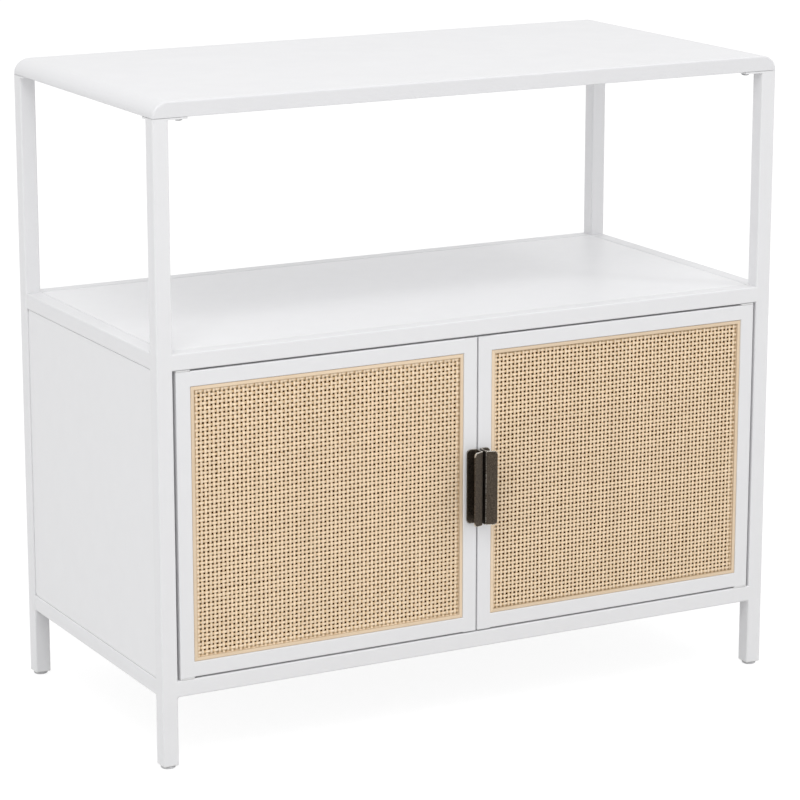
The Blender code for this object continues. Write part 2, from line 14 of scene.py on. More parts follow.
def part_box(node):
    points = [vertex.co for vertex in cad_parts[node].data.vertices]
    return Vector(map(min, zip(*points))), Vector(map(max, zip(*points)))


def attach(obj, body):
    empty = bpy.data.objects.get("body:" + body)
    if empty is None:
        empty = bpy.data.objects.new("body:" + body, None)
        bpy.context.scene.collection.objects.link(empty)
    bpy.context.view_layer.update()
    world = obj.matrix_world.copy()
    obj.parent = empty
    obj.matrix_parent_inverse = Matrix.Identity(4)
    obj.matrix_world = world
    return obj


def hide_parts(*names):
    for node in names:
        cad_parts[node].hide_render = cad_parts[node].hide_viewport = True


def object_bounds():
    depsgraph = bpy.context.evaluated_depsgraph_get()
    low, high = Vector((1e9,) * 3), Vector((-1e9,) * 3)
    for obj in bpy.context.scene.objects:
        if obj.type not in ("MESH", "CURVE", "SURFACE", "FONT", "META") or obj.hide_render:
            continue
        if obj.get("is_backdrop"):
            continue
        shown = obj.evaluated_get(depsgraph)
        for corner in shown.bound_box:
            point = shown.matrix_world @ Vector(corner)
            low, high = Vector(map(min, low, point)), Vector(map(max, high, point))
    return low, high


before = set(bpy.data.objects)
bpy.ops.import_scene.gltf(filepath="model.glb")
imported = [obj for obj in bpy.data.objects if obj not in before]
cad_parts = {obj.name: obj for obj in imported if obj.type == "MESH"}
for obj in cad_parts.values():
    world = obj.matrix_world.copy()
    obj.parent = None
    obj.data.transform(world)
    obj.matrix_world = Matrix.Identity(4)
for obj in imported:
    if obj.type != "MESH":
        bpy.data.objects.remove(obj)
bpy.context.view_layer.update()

# ---- Welded frame
# The real piece is four posts and eight rails of 19 mm square steel tube, and a small plate on
# each post's end. The rails are cut square and welded between the posts, the joints are ground
# flush, and all of it is coated with white powder that shrinks into a fine orange peel.
TUBE_ARRIS = 0.0018
RAIL_RUN_IN = 0.006
WELD_FILLET = 0.0034
PIVOT_HOLE = 0.0034
PLATE_CORNER = 0.0015
SCREW_HOLE = 0.0023
CUT_RUN = 0.001
COAT_COLOUR = (0.800, 0.800, 0.812)


def new_material(name, colour, roughness, metallic=0.0):
    """Principled material with its uniform values on the shader's own sockets."""
    material = bpy.data.materials.new(name)
    material.use_nodes = True
    tree = material.node_tree
    shader = tree.nodes["Principled BSDF"]
    shader.inputs["Base Color"].default_value = (*colour, 1.0)
    shader.inputs["Roughness"].default_value = roughness
    shader.inputs["Metallic"].default_value = metallic
    return material, tree, shader


def feed(tree, socket, value):
    """Link a socket to the output given, or set it to the value given."""
    if isinstance(value, bpy.types.NodeSocket):
        tree.links.new(value, socket)
    else:
        socket.default_value = value


def add(tree, kind, settings=None, **inputs):
    """One shader node, with its settings and inputs."""
    node = tree.nodes.new("ShaderNode" + kind)
    for key, value in (settings or {}).items():
        setattr(node, key, value)
    for key, value in inputs.items():
        feed(tree, node.inputs[key.replace("_", " ")], value)
    return node


def cloud(tree, vector, scale, detail=3.0, roughness=0.5):
    """Noise value over a vector."""
    return add(tree, "TexNoise", Vector=vector, Scale=scale, Detail=detail,
               Roughness=roughness).outputs["Fac"]


def spread(tree, value, low, high, start=0.3, end=0.7):
    """A value stretched from the range start to end over the range low to high."""
    return add(tree, "MapRange", Value=value, From_Min=start, From_Max=end, To_Min=low,
               To_Max=high).outputs["Result"]


def blend_colour(tree, factor, first, second):
    """Mix of two colours or colour sockets, which are the node's inputs 6 and 7."""
    mix = add(tree, "Mix", {"data_type": "RGBA"})
    for index, value in ((0, factor), (6, first), (7, second)):
        feed(tree, mix.inputs[index], (*value, 1.0) if isinstance(value, tuple) else value)
    return mix.outputs[2]


def tinted(tree, factor, colour, darker, lighter):
    """One colour that wanders between a darker and a lighter tint of itself."""
    tints = [tuple(min(channel * share, 1.0) for channel in colour) for share in (darker, lighter)]
    return blend_colour(tree, factor, *tints)


def bump(tree, height, distance, strength=1.0, under=None):
    """Bump normal from a height, over another one if given."""
    node = add(tree, "Bump", Height=height, Distance=distance, Strength=strength)
    if under is not None:
        tree.links.new(under, node.inputs["Normal"])
    return node.outputs["Normal"]


def vary(tree, shader, colour, roughness, normal):
    """Give a shader the colour, roughness and normal that vary over its surface."""
    for name, value in (("Base Color", colour), ("Roughness", roughness), ("Normal", normal)):
        feed(tree, shader.inputs[name], value)


def powder_coat(name, colour, roughness, peel=0.55):
    """Baked powder: soft mottling, orange peel of about 2 mm and a finer grain."""
    material, tree, shader = new_material(name, colour, roughness)
    place = add(tree, "TexCoord").outputs["Object"]
    mottle = tinted(tree, cloud(tree, place, 38.0, 4.0), colour, 0.985, 1.015)
    dull = spread(tree, cloud(tree, place, 90.0), roughness - 0.04, roughness + 0.05)
    waves = bump(tree, cloud(tree, place, 430.0, 1.5), 0.00005, peel)
    grain = bump(tree, cloud(tree, place, 2300.0, 1.0), 0.00002, 0.6 * peel, waves)
    vary(tree, shader, mottle, dull, grain)
    return material


def arc(centre, radius, first, last, steps):
    """Points of an arc, angles in degrees."""
    angles = [math.radians(first + (last - first) * index / steps) for index in range(steps + 1)]
    return [(centre[0] + radius * math.cos(a), centre[1] + radius * math.sin(a)) for a in angles]


def circle(centre, radius, steps=24):
    """Points once round a circle."""
    return arc(centre, radius, 0, 360 - 360 / steps, steps - 1)


def rounded_box(low, high, radius, steps=5):
    """Outline of a rectangle between two corners, with rounded corners."""
    left, right = low[0] + radius, high[0] - radius
    bottom, top = low[1] + radius, high[1] - radius
    outline = []
    for u, v, first in ((right, top, 0), (left, top, 90), (left, bottom, 180), (right, bottom, 270)):
        outline += arc((u, v), radius, first, first + 90, steps)
    return outline


def plan_middle(low, high):
    """Middle of a box as seen from above."""
    return (low.x + high.x) / 2, (low.y + high.y) / 2


def meshed(built, name):
    """Mesh of what was built, with all its normals outward."""
    bmesh.ops.recalc_face_normals(built, faces=built.faces)
    mesh = bpy.data.meshes.new(name)
    built.to_mesh(mesh)
    built.free()
    return mesh


def join_rings(built, loops):
    """Skin over rings of as many vertices each, from one ring to the next."""
    for lower, upper in pairwise(loops):
        for index in range(len(lower)):
            after = (index + 1) % len(lower)
            built.faces.new((lower[index], lower[after], upper[after], upper[index]))


def skinned(rings, name):
    """Closed mesh over rings of as many points each, with its two ends filled."""
    built = bmesh.new()
    loops = [[built.verts.new(point) for point in ring] for ring in rings]
    join_rings(built, loops)
    built.faces.new(loops[0][::-1])
    built.faces.new(loops[-1])
    return meshed(built, name)


def prism(outline, axis, start, end):
    """Mesh of a flat outline in world places, run along one axis from one place to another."""
    first, second = [index for index in range(3) if index != axis]
    rings = []
    for place in (start, end):
        ring = [[0.0, 0.0, 0.0] for _ in outline]
        for point, (u, v) in zip(ring, outline):
            point[axis], point[first], point[second] = place, u, v
        rings.append(ring)
    return skinned(rings, "solid")


def placed(name, data):
    """Object that shows some data, linked to the scene."""
    made = bpy.data.objects.new(name, data)
    bpy.context.scene.collection.objects.link(made)
    return made


def fused(name, solids, cuts=()):
    """One mesh of solids united by exact Booleans, less the cutting solids."""
    tools = [placed(name + "_tool", mesh) for mesh in (*solids, *cuts)]
    for index, tool in enumerate(tools[1:], 1):
        modifier = tools[0].modifiers.new("join", "BOOLEAN")
        modifier.operation = "UNION" if index < len(solids) else "DIFFERENCE"
        modifier.solver = "EXACT"
        modifier.object = tool
    evaluated = tools[0].evaluated_get(bpy.context.evaluated_depsgraph_get())
    mesh = bpy.data.meshes.new_from_object(evaluated)
    for tool in tools:
        bpy.data.objects.remove(tool)
    return mesh


def make_piece(name, mesh, material, body, replaced=(), angle=35.0):
    """Link a mesh as one smooth piece on a CAD body, in place of the CAD nodes that it replaces."""
    mesh.name = name
    mesh.materials.clear()
    mesh.materials.append(material)
    mesh.shade_smooth()
    mesh.set_sharp_from_angle(angle=math.radians(angle))
    piece = placed(name, mesh)
    piece.modifiers.new("even_normals", "WEIGHTED_NORMAL").keep_sharp = True
    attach(piece, body)
    if replaced:
        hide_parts(*replaced)
    return piece


def tube_solid(node, axis, run_in=0.0, radius=TUBE_ARRIS):
    """Closed square prism where a CAD tube is, run on at both ends into what it is welded to."""
    low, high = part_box(node)
    first, second = [index for index in range(3) if index != axis]
    outline = rounded_box((low[first], low[second]), (high[first], high[second]), radius)
    return prism(outline, axis, low[axis] - run_in, high[axis] + run_in)


def weld_fillet(corner, away, axis, start, end):
    """Hollow-faced bead in the angle between a rail's underside and a post, away from the post."""
    u, v = corner
    hollow = [(u + away * WELD_FILLET * (1 - across), v - WELD_FILLET * (1 - down))
              for down, across in arc((0.0, 0.0), 1.0, 0, 90, 6)]
    return prism([corner, *hollow], axis, start, end)


COAT = powder_coat("white_powder_coat", COAT_COLOUR, 0.36)
ENDS = ("front", "rear")
SIDES = {"left": -1, "right": 1}
CORNERS = [f"{end}_{side_name}" for side_name in SIDES for end in ENDS]
posts = [f"post_{corner}" for corner in CORNERS]
plates = [f"top_plate_{corner}" for corner in CORNERS]
cross_rails = [f"{level}_rail_{end}" for level in ("base", "deck") for end in ENDS]
side_rails = [f"{level}_rail_{side_name}" for level in ("base", "deck") for side_name in SIDES]
solids = [tube_solid(name, 0, RAIL_RUN_IN) for name in cross_rails]
solids += [tube_solid(name, 1, RAIL_RUN_IN) for name in side_rails]
for post, plate in zip(posts, plates):
    low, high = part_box(plate)
    solids.append(prism(rounded_box(low.xy, high.xy, PLATE_CORNER), 2, low.z, high.z))
    middle_z = (low.z + high.z) / 2
    low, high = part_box(post)
    solids.append(prism(rounded_box(low.xy, high.xy, TUBE_ARRIS), 2, low.z, middle_z))
for side_name, side in SIDES.items():
    for end in ENDS:
        post_low, post_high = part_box(f"post_{end}_{side_name}")
        inner_x = post_high.x if side < 0 else post_low.x
        inner_y, inward = (post_high.y, 1) if end == "front" else (post_low.y, -1)
        low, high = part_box(f"base_rail_{end}")
        solids.append(weld_fillet((inner_x, low.z), -side, 1, low.y + TUBE_ARRIS, high.y - TUBE_ARRIS))
        low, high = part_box(f"base_rail_{side_name}")
        solids.append(weld_fillet((inner_y, low.z), inward, 0, low.x + TUBE_ARRIS, high.x - TUBE_ARRIS))
holes = []
for side_name in SIDES:
    low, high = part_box(f"{side_name}_lower_pivot")
    outline = circle(plan_middle(low, high), PIVOT_HOLE)
    holes.append(prism(outline, 2, low.z - CUT_RUN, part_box("base_rail_front")[1].z + CUT_RUN))
    top_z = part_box(f"{side_name}_upper_pivot")[1].z
    holes.append(prism(outline, 2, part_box("deck_rail_front")[0].z - CUT_RUN, top_z + CUT_RUN))
for corner, plate in zip(CORNERS, plates):
    outline = circle(plan_middle(*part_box(f"top_screw_{corner}")), SCREW_HOLE)
    low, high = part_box(plate)
    holes.append(prism(outline, 2, low.z - CUT_RUN, high.z + CUT_RUN))
make_piece("welded_frame", fused("frame", solids, holes), COAT, "frame",
           posts + plates + cross_rails + side_rails)

# ---- Feet
# Each post ends in a white moulded plug with a square flange, rounded at its lower edge. A zinc
# plated M6 stem screws into it and carries a round grey pad, which turns to level the cabinet.
SEAM = 0.0003
PLUG_EDGE = 0.0014
PLUG_LEAST_CORNER = 0.0004
PLUG_SHOULDER = 0.0015
PLUG_SHANK_CORNER = 0.001
STEM_HOLE = 0.0033
STEM_RADIUS = 0.003
STEM_SEAT = 0.0004
STEM_TIP = 0.0002
THREAD_PITCH = 0.001
THREAD_DEPTH = 0.00045
PAD_EDGE = 0.0012
PAD_FLAT_INSET = 0.0026
PAD_RISE_INSET = 0.0022
PAD_RISE = 0.0003
PAD_DISH_RIM = 0.0008
PAD_DISH_FLOOR = 0.0003
PAD_DISH_DEPTH = 0.0005
PAD_COLOUR = (0.560, 0.560, 0.570)
PLASTIC_COLOUR = (0.79, 0.79, 0.79)
# Darker than bright zinc: painted shade, for the screw heads in shadow under the board.
ZINC_PAINTED_SHADE_COLOUR = (0.36, 0.36, 0.37)


def moulded_plastic(name, colour, roughness):
    """Injection-moulded plastic with a spark-eroded grain and slight flow clouds."""
    material, tree, shader = new_material(name, colour, roughness)
    place = add(tree, "TexCoord").outputs["Object"]
    flow = tinted(tree, cloud(tree, place, 120.0, 2.0), colour, 0.92, 1.08)
    dull = spread(tree, cloud(tree, place, 600.0), roughness - 0.05, roughness + 0.06)
    vary(tree, shader, flow, dull, bump(tree, cloud(tree, place, 1500.0, 2.0), 0.00006, 0.6))
    return material


def plated_steel(name, colour, roughness):
    """Zinc plating, faintly cloudy, with fine drawing marks."""
    material, tree, shader = new_material(name, colour, roughness, 1.0)
    place = add(tree, "TexCoord").outputs["Object"]
    haze = tinted(tree, cloud(tree, place, 260.0), colour, 0.78, 1.12)
    dull = spread(tree, cloud(tree, place, 900.0), roughness - 0.08, roughness + 0.12)
    vary(tree, shader, haze, dull, bump(tree, cloud(tree, place, 3200.0, 1.0), 0.00002, 0.5))
    return material


def inset_outline(low, high, inset, radius):
    """Outline of a box seen from above, set in all round, with rounded corners."""
    return rounded_box((low.x + inset, low.y + inset), (high.x - inset, high.y - inset), radius)


def moulded_plug(low, high, face_z):
    """Mesh of a plug: its flange up to the post's end, its square shank and the stem's hole."""
    lower_edge = [(low.z + PLUG_EDGE - v, PLUG_EDGE - u) for u, v in arc((0.0, 0.0), PLUG_EDGE, 0, 90, 6)]
    rings = []
    for z, inset in [(face_z, 0.0), *lower_edge]:
        corner_radius = max(TUBE_ARRIS - inset, PLUG_LEAST_CORNER)
        rings.append([(x, y, z) for x, y in inset_outline(low, high, inset, corner_radius)])
    shank = inset_outline(low, high, PLUG_SHOULDER, PLUG_SHANK_CORNER)
    hole = circle(plan_middle(low, high), STEM_HOLE)
    return fused("plug", [skinned(rings, "flange"), prism(shank, 2, (low.z + face_z) / 2, high.z)],
                 [prism(hole, 2, low.z - CUT_RUN, high.z + CUT_RUN)])


def turned(profile, centre, steps=48):
    """Mesh of a closed profile of (radius, height) spun about a vertical axis through a place."""
    built = bmesh.new()
    rings = []
    for radius, z in profile:
        points = circle(centre, radius, steps) if radius > 0.0 else [centre]
        rings.append([built.verts.new((x, y, z)) for x, y in points])
    for lower, upper in pairwise(rings):
        for index in range(steps):
            after = (index + 1) % steps
            corners = [lower[index % len(lower)], lower[after % len(lower)],
                       upper[after % len(upper)], upper[index % len(upper)]]
            built.faces.new(list(dict.fromkeys(corners)))
    return meshed(built, "turned")


def pad_profile(radius, top_z):
    """Profile of a pad, from the flat it stands on, round its rim and down into the stem's dish."""
    rim, dish_z = radius - PAD_EDGE, top_z - PAD_DISH_DEPTH
    profile = [(0.0, 0.0), (radius - PAD_FLAT_INSET, 0.0), (radius - PAD_RISE_INSET, PAD_RISE)]
    profile += [(rim + u, PAD_RISE + PAD_EDGE + v) for u, v in arc((0.0, 0.0), PAD_EDGE, -80, 0, 5)]
    profile += [(rim + u, top_z - PAD_EDGE + v) for u, v in arc((0.0, 0.0), PAD_EDGE, 0, 85, 5)]
    return profile + [(STEM_RADIUS + PAD_DISH_RIM, top_z), (STEM_RADIUS + PAD_DISH_FLOOR, dish_z),
                      (0.0, dish_z)]


def threaded_stem(centre, low_z, high_z, steps=24):
    """Mesh of a screw stem whose crest winds up it in a helix and fades out at its tip."""
    count = round((high_z - low_z) / (THREAD_PITCH / 4))
    rings = []
    for row in range(count + 1):
        z = low_z + (high_z - low_z) * row / count
        fade = min(1.0, 4 * (high_z - z) / THREAD_PITCH)
        ring = []
        for index in range(steps):
            turn = index / steps
            wave = abs(((z / THREAD_PITCH - turn) % 1.0) - 0.5) * 2
            radius = STEM_RADIUS - THREAD_DEPTH * (1 - wave * fade) - STEM_TIP * (1 - fade)
            angle = 2 * math.pi * turn
            ring.append((centre[0] + radius * math.cos(angle), centre[1] + radius * math.sin(angle), z))
        rings.append(ring)
    return skinned(rings, "stem")


WHITE_PLASTIC = moulded_plastic("white_plastic", PLASTIC_COLOUR, 0.42)
GREY_PLASTIC = moulded_plastic("grey_plastic", PAD_COLOUR, 0.52)
ZINC = plated_steel("zinc_plate", ZINC_PAINTED_SHADE_COLOUR, 0.34)
for corner in CORNERS:
    low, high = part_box(f"foot_plug_{corner}")
    pad_top = low.z - SEAM
    plug = moulded_plug(low, high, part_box(f"post_{corner}")[0].z)
    make_piece(f"moulded_plug_{corner}", plug, WHITE_PLASTIC, "frame",
               [f"foot_plug_{corner}"])
    leveller = f"leveller_{corner}"
    low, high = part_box(leveller)
    centre = plan_middle(low, high)
    pad = turned(pad_profile((high.x - low.x) / 2, pad_top), centre)
    make_piece(f"leveller_pad_{corner}", pad, GREY_PLASTIC, leveller, [leveller])
    stem = threaded_stem(centre, pad_top - STEM_SEAT, high.z)
    make_piece(f"leveller_stem_{corner}", stem, ZINC, leveller, angle=60.0)

# ---- Folded panels
# Deck, floor, back and both sides are 1.2 mm sheet, folded at all four edges with a relief at
# each corner, set into the frame with a hairline seam. Their powder lies smoother than on tube.
# The deck's coat is painted lighter than the others: painted light, for the light that falls into
# the open bay.
PANEL_COLOUR = (0.822, 0.822, 0.834)
# Lighter than the other panels: painted light on the deck in the open bay.
DECK_PAINTED_LIGHT_COLOUR = (0.862, 0.862, 0.873)

PANEL_COAT = powder_coat("white_panel_coat", PANEL_COLOUR, 0.35, 0.10)
DECK_PAINTED_LIGHT_COAT = powder_coat("white_deck_coat_painted_light", DECK_PAINTED_LIGHT_COLOUR, 0.37, 0.06)
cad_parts["deck_panel"].material_slots[0].material = DECK_PAINTED_LIGHT_COAT
for name in ("floor_panel", "back_panel", "side_panel_left", "side_panel_right"):
    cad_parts[name].material_slots[0].material = PANEL_COAT

# ---- Top board
# The board is 18 mm fibreboard, moulded in satin white lacquer. Its two ends are rolled over
# above a short lip, a little longer than high. The long upper edges are eased, and the lower
# ones just broken.
ROLL_LENGTH = 0.0200
ROLL_HEIGHT = 0.0165
BOARD_EASE = 0.0022
LOWER_EASE_SHARE = 0.25
SAME_PLACE = 1e-5
BOARD_COLOUR = (0.761, 0.761, 0.775)


def lacquer(name, colour, roughness):
    """Sprayed satin lacquer: almost even, with long flow waves and the odd dust nib."""
    material, tree, shader = new_material(name, colour, roughness)
    place = add(tree, "TexCoord").outputs["Object"]
    tone = tinted(tree, cloud(tree, place, 11.0, 5.0), colour, 0.988, 1.012)
    dull = spread(tree, cloud(tree, place, 30.0), roughness - 0.03, roughness + 0.04)
    waves = bump(tree, cloud(tree, place, 140.0, 1.0), 0.00004, 0.4)
    nibs = spread(tree, cloud(tree, place, 520.0, 0.0), 0.0, 1.0, 0.74, 0.80)
    vary(tree, shader, tone, dull, bump(tree, nibs, 0.00004, 0.5, waves))
    return material


def ease_edges(piece, width, segments, limit):
    """Round a piece's edges, ahead of its even normals."""
    easing = piece.modifiers.new("eased_edges", "BEVEL")
    easing.width, easing.segments, easing.limit_method = width, segments, limit
    piece.modifiers.move(1, 0)
    return easing


LACQUER = lacquer("white_lacquer", BOARD_COLOUR, 0.33)
low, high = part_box("top_board")
roll = [(ROLL_LENGTH * (1 - u), ROLL_HEIGHT * (1 - v)) for u, v in arc((0.0, 0.0), 1.0, 0, 90, 24)]
profile = [(low.x, low.z), (high.x, low.z)] + [(high.x - u, high.z - v) for u, v in roll]
profile += [(low.x + u, high.z - v) for u, v in reversed(roll)]
mesh = prism(profile, 1, low.y, high.y)
weights = mesh.attributes.new("bevel_weight_edge", "FLOAT", "EDGE").data
for edge in mesh.edges:
    first, second = (mesh.vertices[index].co for index in edge.vertices)
    if max(first.z, second.z) < low.z + SAME_PLACE:
        weights[edge.index].value = LOWER_EASE_SHARE
    elif abs(first.y - second.y) < SAME_PLACE:
        weights[edge.index].value = 1.0
board = make_piece("top_board_lacquered", mesh, LACQUER, "frame", ["top_board"], angle=50.0)
ease_edges(board, BOARD_EASE, 4, "WEIGHT")

# ---- Screws under the board
# One pan-head screw of zinc-plated steel goes up through each post's plate into the board. Its
# head is pressed to a low dome with a cross recess. The handles' own screws have smaller heads.
SCREW_SHANK = 0.0020
SCREW_RECESS = 0.0012
RECESS_ARM_SHARE = 0.52
RECESS_HALF_SHARE = 0.14
TOP_HEAD = 0.0026
PAN_DOME = ((0.35, 0.985), (0.62, 0.90), (0.82, 0.74), (0.94, 0.50), (1.0, 0.24))


def pan_screw(place, direction, radius, height, length):
    """Mesh of a screw by its head's radius and height; the head's flat side is at the place."""
    profile = [(0.0, -height)] + [(radius * across, -height * up) for across, up in PAN_DOME]
    profile += [(radius * 0.99, -0.00005), (radius * 0.96, 0.0), (SCREW_SHANK, 0.0),
                (SCREW_SHANK, length - SCREW_SHANK), (SCREW_SHANK * 0.3, length), (0.0, length)]
    arm, half = radius * RECESS_ARM_SHARE, radius * RECESS_HALF_SHARE
    cross = [(arm, -half), (arm, half), (half, half), (half, arm), (-half, arm), (-half, half),
             (-arm, half), (-arm, -half), (-half, -half), (-half, -arm), (half, -arm), (half, -half)]
    mesh = fused("screw", [turned(profile, (0.0, 0.0), 32)],
                 [prism(cross, 2, -height * 2, -height + SCREW_RECESS)])
    turn = Vector(direction).to_track_quat("Z", "X").to_matrix().to_4x4()
    mesh.transform(Matrix.Translation(place) @ turn)
    return mesh


for corner in CORNERS:
    low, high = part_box(f"top_screw_{corner}")
    base = Vector((*plan_middle(low, high), low.z + TOP_HEAD))
    screw = pan_screw(base, (0, 0, 1), (high.x - low.x) / 2, TOP_HEAD, high.z - base.z)
    make_piece(f"top_screw_{corner}_pan_head", screw, ZINC, "frame", [f"top_screw_{corner}"])

# ---- Doors
# Each door is its own frame of 17.5 mm tube, welded and ground like the cabinet's, hung on a
# pin at the top and bottom of its hinge stile, with a white collar in the gap at each pin.
DOOR_ARRIS = 0.0014
COLLAR_HEIGHT = 0.0013
COLLAR_EDGE = 0.0002
PIN_RADIUS = 0.003
PIN_CHAMFER = 0.0006

for side_name in SIDES:
    door = f"{side_name}_door"
    stiles = [f"{side_name}_hinge_stile", f"{side_name}_meeting_stile"]
    rails = [f"{side_name}_top_rail", f"{side_name}_bottom_rail"]
    solids = [tube_solid(name, 2, 0.0, DOOR_ARRIS) for name in stiles]
    solids += [tube_solid(name, 0, RAIL_RUN_IN, DOOR_ARRIS) for name in rails]
    make_piece(f"{side_name}_door_frame", fused("door", solids), COAT, door,
               stiles + rails)
    low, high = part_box(stiles[0])
    outline = rounded_box(low.xy, high.xy, DOOR_ARRIS)
    for level, face_z, outward in (("lower", low.z, -1), ("upper", high.z, 1)):
        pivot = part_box(f"{side_name}_{level}_pivot")
        near, far = face_z + outward * SEAM, face_z + outward * (SEAM + COLLAR_HEIGHT)
        collar = make_piece(f"{side_name}_{level}_collar", prism(outline, 2, near, far), WHITE_PLASTIC,
                            door, [f"{side_name}_{level}_pivot"])
        ease_edges(collar, COLLAR_EDGE, 2, "ANGLE").angle_limit = math.radians(60)
        tip = pivot[0].z if level == "lower" else pivot[1].z
        pin = [(0.0, face_z), (PIN_RADIUS, face_z), (PIN_RADIUS, tip - outward * PIN_CHAMFER),
               (PIN_RADIUS - PIN_CHAMFER, tip), (0.0, tip)]
        make_piece(f"{side_name}_{level}_pin", turned(pin, plan_middle(low, high), 32), ZINC, door)

# ---- Cane
# Sheets of real cane in a close square weave: flat split strands a little under 3 mm wide, one over
# and one under, with small square holes left between them. A thin dark cloth fills the opening of
# the stretcher behind them: painted shade, a dark sheet that stands for the shade of the cupboard's
# inside seen through the holes.
HOLE_PITCH = {0: 0.00518, 2: 0.00490}  # by axis: x across, z down
FIRST_HOLE = {"left": {0: 0.0040, 2: 0.0034}, "right": {0: 0.0028, 2: 0.0049}}
LEAN = {"left": 0.006, "right": 0.004}
STRAND_HALF = {"left": 0.00140, "right": 0.00133}
STRAND_HALF_THICK = 0.00020
STRAND_SECTION = ((-1.0, 0.0), (-0.72, 0.8), (0.0, 1.0), (0.72, 0.8), (1.0, 0.0), (0.72, -0.8),
                  (0.0, -1.0), (-0.72, -0.8))
WAVE = 0.00036
WANDER = 0.00042
# Each swing has its waves a metre, its step from strand to strand, its seed and its size.
DRIFT_SWINGS = ((14.0, 0.9, 0.0, 1.0), (55.0, 1.7, 4.0, 0.6))
WIDTH_SWINGS = ((120.0, 2.3, 9.0, 0.16),)
FLOAT_HALF = 0.00095
FLOAT_END_SHARE = 0.84
# Share of the crest value kept at a strand's cut edges: painted shade on the strands' sides.
CUT_EDGE_SHADE_SHARE = 0.50
STRETCHER_WIDTH = 0.009
CLOTH_OVERLAP = 0.0002
CLOTH_THICK = 0.00022
CLOTH_SLACK = 0.00002
CANE_COLOUR = (0.930, 0.762, 0.572)
# Colour the strands go to where they dive under: dust and painted shade.
CANE_DUST_AND_SHADE = (0.690, 0.455, 0.220)
AGED_SHARES = (0.86, 0.80, 0.70)
LINED_SHARES = (0.74, 0.64, 0.50)
# Dark sheet behind the cane: painted shade for the cupboard's inside seen through the holes.
SHADE_CLOTH_COLOUR = (0.060, 0.022, 0.005)


def calculated(tree, operation, first, second, kind="Math"):
    """Result of one operation on two sockets, or on a socket and a value."""
    node = add(tree, kind, {"operation": operation})
    feed(tree, node.inputs[0], first)
    feed(tree, node.inputs[1], second)
    return node.outputs[0]


def browned(colour, shares):
    """A colour that keeps only a share of each of its channels."""
    return tuple(channel * share for channel, share in zip(colour, shares))


def cane_material(name, colour, dust_and_shade, roughness, streak=1.0):
    """Split cane: fine fibres along each strand, one tone per strand, glossy outer skin.

    The mesh carries each point's place along and across its strand, and the strand's number. It
    also has a crest value, 1 where the strand lies on top and 0 where it dives. Towards 0 the colour
    goes to a mix of dust and painted shade. At the cut edges the value is a share of that, as painted
    shade on the strands' sides. On the border strip the value is low at both edges, as painted shade
    where the strip meets the frame and the cane.
    """
    material, tree, shader = new_material(name, colour, roughness)
    shader.inputs["Specular IOR Level"].default_value = 0.25
    fibre = add(tree, "Attribute", {"attribute_name": "fibre"}).outputs["Vector"]
    strand = add(tree, "SeparateXYZ", Vector=fibre).outputs["Z"]
    per_strand = add(tree, "TexWhiteNoise", {"noise_dimensions": "1D"}, W=strand).outputs["Value"]
    drawn_out = calculated(tree, "MULTIPLY", fibre, (55.0, 2200.0, 3.7), "VectorMath")
    streaks = cloud(tree, drawn_out, 1.0, 4.0, 0.6)
    blotches = calculated(tree, "MULTIPLY", fibre, (24.0, 40.0, 5.3), "VectorMath")
    ageing = cloud(tree, blotches, 1.0, 2.0)
    aged = blend_colour(tree, spread(tree, ageing, 0.0, 0.34, 0.5, 0.75),
                        tinted(tree, per_strand, colour, 0.93, 1.07),
                        browned(colour, AGED_SHARES))
    lined = blend_colour(tree, spread(tree, streaks, 0.0, 0.40 * streak, 0.52, 0.72), aged,
                         browned(colour, LINED_SHARES))
    crest = add(tree, "Attribute", {"attribute_name": "crest"}).outputs["Fac"]
    # Towards a low crest value the colour goes to dust and painted shade.
    dusted_and_shaded = blend_colour(tree, spread(tree, crest, 0.0, 1.0, 0.0, 0.9), dust_and_shade, lined)
    dull = spread(tree, streaks, roughness - 0.08, roughness + 0.12)
    vary(tree, shader, dusted_and_shaded, dull, bump(tree, streaks, 0.00005, 0.6))
    return material


def skin_faces(first, size, rows):
    """Faces of a closed skin over rings of one size, numbered on from a first vertex."""
    faces = []
    for row in range(rows):
        for index in range(size):
            here, after = first + row * size + index, first + row * size + (index + 1) % size
            faces.append((here, after, after + size, here + size))
    last = first + rows * size
    return faces + [tuple(range(first + size - 1, first - 1, -1)), tuple(range(last, last + size))]


def fibre_mesh(name, verts, faces, fibre, crests):
    """Mesh with (along, across, strand) and the crest value at each vertex, for the material."""
    mesh = bpy.data.meshes.new(name)
    mesh.from_pydata(verts, [], faces)
    layer = mesh.attributes.new("fibre", "FLOAT_VECTOR", "POINT")
    layer.data.foreach_set("vector", [number for value in fibre for number in value])
    mesh.attributes.new("crest", "FLOAT", "POINT").data.foreach_set("value", crests)
    built = bmesh.new()
    built.from_mesh(mesh)
    bpy.data.meshes.remove(mesh)
    return meshed(built, name)


def hole_places(low, high, side_name, axis):
    """Middles of the holes across a sheet, along x from the left or down z from the top."""
    places, place = [], FIRST_HOLE[side_name][axis] - HOLE_PITCH[axis]
    while place < high[axis] - low[axis] + HOLE_PITCH[axis]:
        places.append(low.x + place if axis == 0 else high.z - place)
        place += HOLE_PITCH[axis]
    return sorted(places)


def weave_line(start, end, crossings, first_lift):
    """Places along a strand with its lift there: over and under in turn, and level at its ends."""
    stations = [(start, 0.0)]
    for number, crossing in enumerate(crossings):
        lift = first_lift if number % 2 == 0 else -first_lift
        for shift, share in ((-FLOAT_HALF, FLOAT_END_SHARE), (0.0, 1.0), (FLOAT_HALF, FLOAT_END_SHARE)):
            if start < crossing + shift < end:
                stations.append((crossing + shift, lift * share))
    return stations + [(end, 0.0)]


def uneven(place, strand, seed, swings):
    """Unevenness of one strand at one place, the sum of its swings."""
    return sum(size * noise.noise(Vector((place * waves, strand * step, seed + shift)))
               for waves, step, shift, size in swings)


